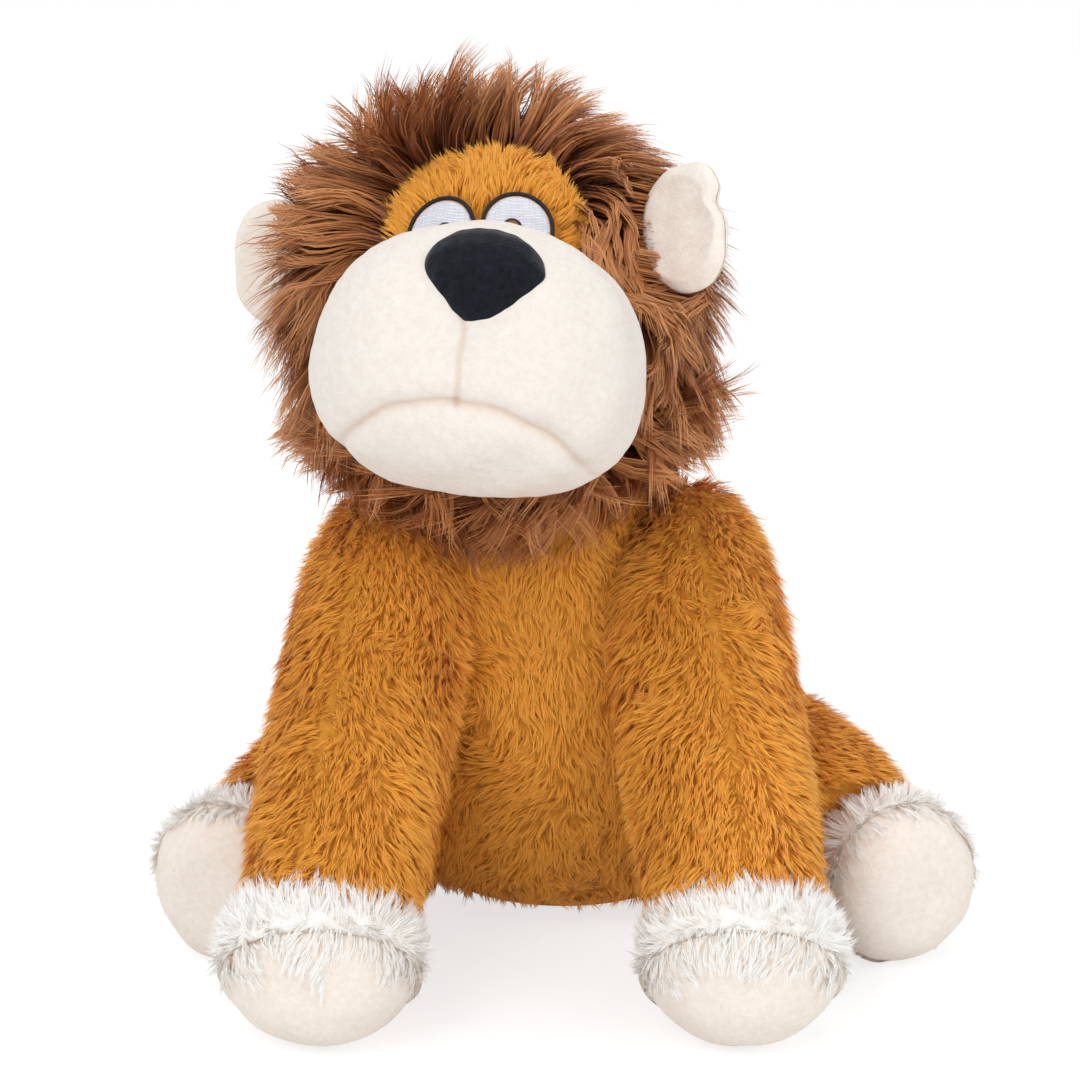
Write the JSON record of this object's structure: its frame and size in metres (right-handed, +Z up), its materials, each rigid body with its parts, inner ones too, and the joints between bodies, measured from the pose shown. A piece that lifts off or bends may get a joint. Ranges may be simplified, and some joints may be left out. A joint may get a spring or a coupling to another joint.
{
  "type": "plush lion",
  "caption": "Sitting stuffed toy lion with a long brown mane, gold plush body, pale velour muzzle and sewn limbs that move.",
  "frame": {"origin": "middle of the flat seat under the body, on the floor", "axes": "+Z up, the lion looks along -Y, its own left side at +X"},
  "size_m": [0.2406, 0.2322, 0.2502],
  "materials": {
    "gold_plush": "short dense pile",
    "brown_mane": "long shaggy pile",
    "cream_velour": "velour with a fine nap",
    "white_plush": "short dense pile",
    "black_velour": "velour with a fine nap",
    "white_thread": "embroidered fill stitch",
    "black_thread": "embroidered satin stitch",
    "fibre_filling": "polyester fibre",
    "pellet_bag": "woven bag of pellets"
  },
  "bodies": {
    "trunk": {"torso_cover": "gold_plush", "torso_filling": "fibre_filling", "bean_bag": "pellet_bag"},
    "neck": {"neck_plug": "fibre_filling"},
    "head": {"mane": "brown_mane", "brow_patch": "gold_plush", "head_filling": "fibre_filling", "cheek_right": "cream_velour", "cheek_left": "cream_velour", "chin": "cream_velour", "nose": "black_velour", "eye_right_white": "white_thread", "eye_right_outline": "black_thread", "eye_right_pupil": "black_thread", "eye_left_white": "white_thread", "eye_left_outline": "black_thread", "eye_left_pupil": "black_thread"},
    "right_ear": {"ear_right_front": "cream_velour", "ear_right_back": "cream_velour"},
    "left_ear": {"ear_left_front": "cream_velour", "ear_left_back": "cream_velour"},
    "right_arm": {"arm_right": "gold_plush", "forepaw_right": "white_plush", "forepaw_right_pad": "cream_velour"},
    "left_arm": {"arm_left": "gold_plush", "forepaw_left": "white_plush", "forepaw_left_pad": "cream_velour"},
    "right_leg": {"leg_right": "gold_plush", "foot_right": "white_plush", "foot_right_sole": "cream_velour"},
    "left_leg": {"leg_left": "gold_plush", "foot_left": "white_plush", "foot_left_sole": "cream_velour"},
    "whole_tail": {"tail": "gold_plush", "tail_tuft": "brown_mane"}
  },
  "joints": [
    {"name": "head_turn", "type": "hinge", "parent": "trunk", "child": "neck", "pos_m": [-0.012, -0.006, 0.148], "axis": [0, 0, 1], "range_deg": [-20, 20], "stiffness_Nm_per_rad": 0.6},
    {"name": "head_nod", "type": "hinge", "parent": "neck", "child": "head", "pos_m": [-0.012, -0.006, 0.148], "axis": [1, 0, 0], "range_deg": [-8, 8], "stiffness_Nm_per_rad": 1.5},
    {"name": "right_ear_fold", "type": "hinge", "parent": "head", "child": "right_ear", "pos_m": [-0.06828, -0.00181, 0.19953], "axis": [-0.0433, 0.3398, 0.9395], "range_deg": [-15, 15], "stiffness_Nm_per_rad": 0.03},
    {"name": "left_ear_fold", "type": "hinge", "parent": "head", "child": "left_ear", "pos_m": [0.02193, -0.03733, 0.21335], "axis": [-0.0433, 0.3398, 0.9395], "range_deg": [-15, 15], "stiffness_Nm_per_rad": 0.03},
    {"name": "right_arm_raise", "type": "hinge", "parent": "trunk", "child": "right_arm", "pos_m": [-0.05, -0.02, 0.113], "axis": [-1, 0, 0], "range_deg": [0, 35], "stiffness_Nm_per_rad": 0.25},
    {"name": "left_arm_raise", "type": "hinge", "parent": "trunk", "child": "left_arm", "pos_m": [0.036, -0.02, 0.113], "axis": [-1, 0, 0], "range_deg": [0, 35], "stiffness_Nm_per_rad": 0.25},
    {"name": "right_leg_splay", "type": "hinge", "parent": "trunk", "child": "right_leg", "pos_m": [-0.052, 0.016, 0.036], "axis": [0, 0, -1], "range_deg": [0, 30], "stiffness_Nm_per_rad": 0.2},
    {"name": "left_leg_splay", "type": "hinge", "parent": "trunk", "child": "left_leg", "pos_m": [0.052, 0.016, 0.036], "axis": [0, 0, 1], "range_deg": [0, 30], "stiffness_Nm_per_rad": 0.2},
    {"name": "tail_swing", "type": "hinge", "parent": "trunk", "child": "whole_tail", "pos_m": [0, 0.0455, 0.023], "axis": [0, 0, 1], "range_deg": [-20, 20], "stiffness_Nm_per_rad": 0.05}
  ]
}
